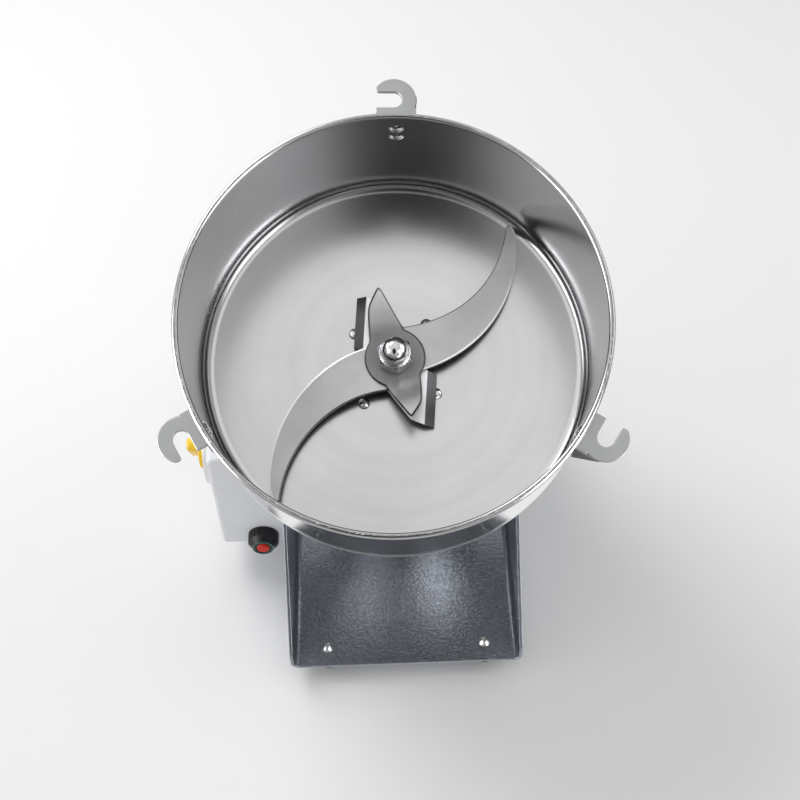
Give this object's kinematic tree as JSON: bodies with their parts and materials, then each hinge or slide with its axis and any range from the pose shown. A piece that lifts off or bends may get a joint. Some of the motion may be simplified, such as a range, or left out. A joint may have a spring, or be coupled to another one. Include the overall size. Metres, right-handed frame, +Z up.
{
  "type": "electric powder grinder",
  "caption": "Swing-type electric powder grinder: open steel pot with stacked bent blades and lid hooks, motor below, tilting between the plates of a painted base with a timer box.",
  "frame": {"origin": "on the ground, straight under the middle of the swing axis", "axes": "+X to the machine's right, +Y to its back, +Z up; the swing axis runs along X, 137 mm up; at rest the pot leans 25.3 degrees to the front"},
  "size_m": [0.2561, 0.2925, 0.3047],
  "materials": {
    "base_paint": "glossy dark blue-grey hammertone paint",
    "box_paint": "smooth light grey powder paint",
    "foot_rubber": "matt black rubber",
    "zinc": "bright zinc plate",
    "pot_steel": "satin spun stainless steel, bright rolled rim",
    "hook_steel": "satin stamped stainless steel",
    "blade_steel": "satin stainless steel with ground edges",
    "nut_chrome": "polished",
    "knob_yellow": "glossy yellow plastic",
    "dial_white": "smooth white plastic",
    "black_plastic": "satin black plastic",
    "button_red": "glossy red plastic",
    "ring_green": "dark green plastic",
    "cast_alloy": "cast, lightly machined",
    "motor_paint": "satin black paint",
    "shaft_steel": "ground steel",
    "core_steel": "stacked iron sheets",
    "copper": "varnished copper",
    "carbon": "pressed carbon",
    "bronze": "sintered bronze"
  },
  "bodies": {
    "base": {"base_bracket": "base_paint", "rubber_feet": "foot_rubber", "foot_screws": "zinc", "foot_nuts": "zinc", "pivot_bolts": "zinc", "pivot_washers": "zinc", "pivot_nuts": "zinc", "control_box": "box_paint", "box_screws": "zinc", "timer_body": "black_plastic", "timer_dial": "dial_white", "timer_nut": "zinc", "breaker_body": "black_plastic", "breaker_collar": "black_plastic", "button_ring": "ring_green", "cable_gland": "black_plastic", "gland_nut": "black_plastic"},
    "head": {"pot": "pot_steel", "lid_hook_left": "hook_steel", "lid_hook_right": "hook_steel", "lid_hook_rear": "hook_steel", "hook_rivets": "zinc", "floor_screws": "zinc", "shaft_seal": "foot_rubber", "motor_top_bracket": "cast_alloy", "motor_housing": "motor_paint", "motor_end_cap": "cast_alloy", "motor_tie_bolts": "zinc", "stator_core": "core_steel", "field_coils": "copper", "upper_bearing": "shaft_steel", "lower_bearing": "shaft_steel", "brush_holders": "black_plastic", "carbon_brushes": "carbon", "brush_caps": "black_plastic", "trunnion_right": "cast_alloy", "trunnion_left": "cast_alloy", "pivot_bushes": "bronze", "trunnion_screws": "zinc"},
    "rotor": {"motor_shaft": "shaft_steel", "armature_core": "core_steel", "armature_windings": "copper", "commutator": "copper", "cooling_fan": "black_plastic", "blade_spacer": "shaft_steel", "lower_blade": "blade_steel", "main_blade": "blade_steel", "upper_blade": "blade_steel", "lock_washer": "nut_chrome", "cap_nut": "nut_chrome"},
    "timer": {"timer_knob": "knob_yellow", "timer_shaft": "shaft_steel"},
    "button": {"reset_button": "button_red"}
  },
  "joints": [
    {"name": "head_swing", "type": "hinge", "parent": "base", "child": "head", "pos_m": [0, 0, 0.137], "axis": [1, 0, 0], "range_deg": [-25.3, 24]},
    {"name": "blade_spin", "type": "hinge", "parent": "head", "child": "rotor", "pos_m": [0, 0, 0.137], "axis": [0, -0.4274, 0.9041], "continuous": true},
    {"name": "timer_turn", "type": "hinge", "parent": "base", "child": "timer", "pos_m": [-0.11875, -0.014, 0.091], "axis": [1, 0, 0], "range_deg": [-28, 272]},
    {"name": "reset_press", "type": "slide", "parent": "base", "child": "button", "axis": [0, 1, 0], "range_m": [0, 0.0018], "stiffness_N_per_m": 600}
  ]
}
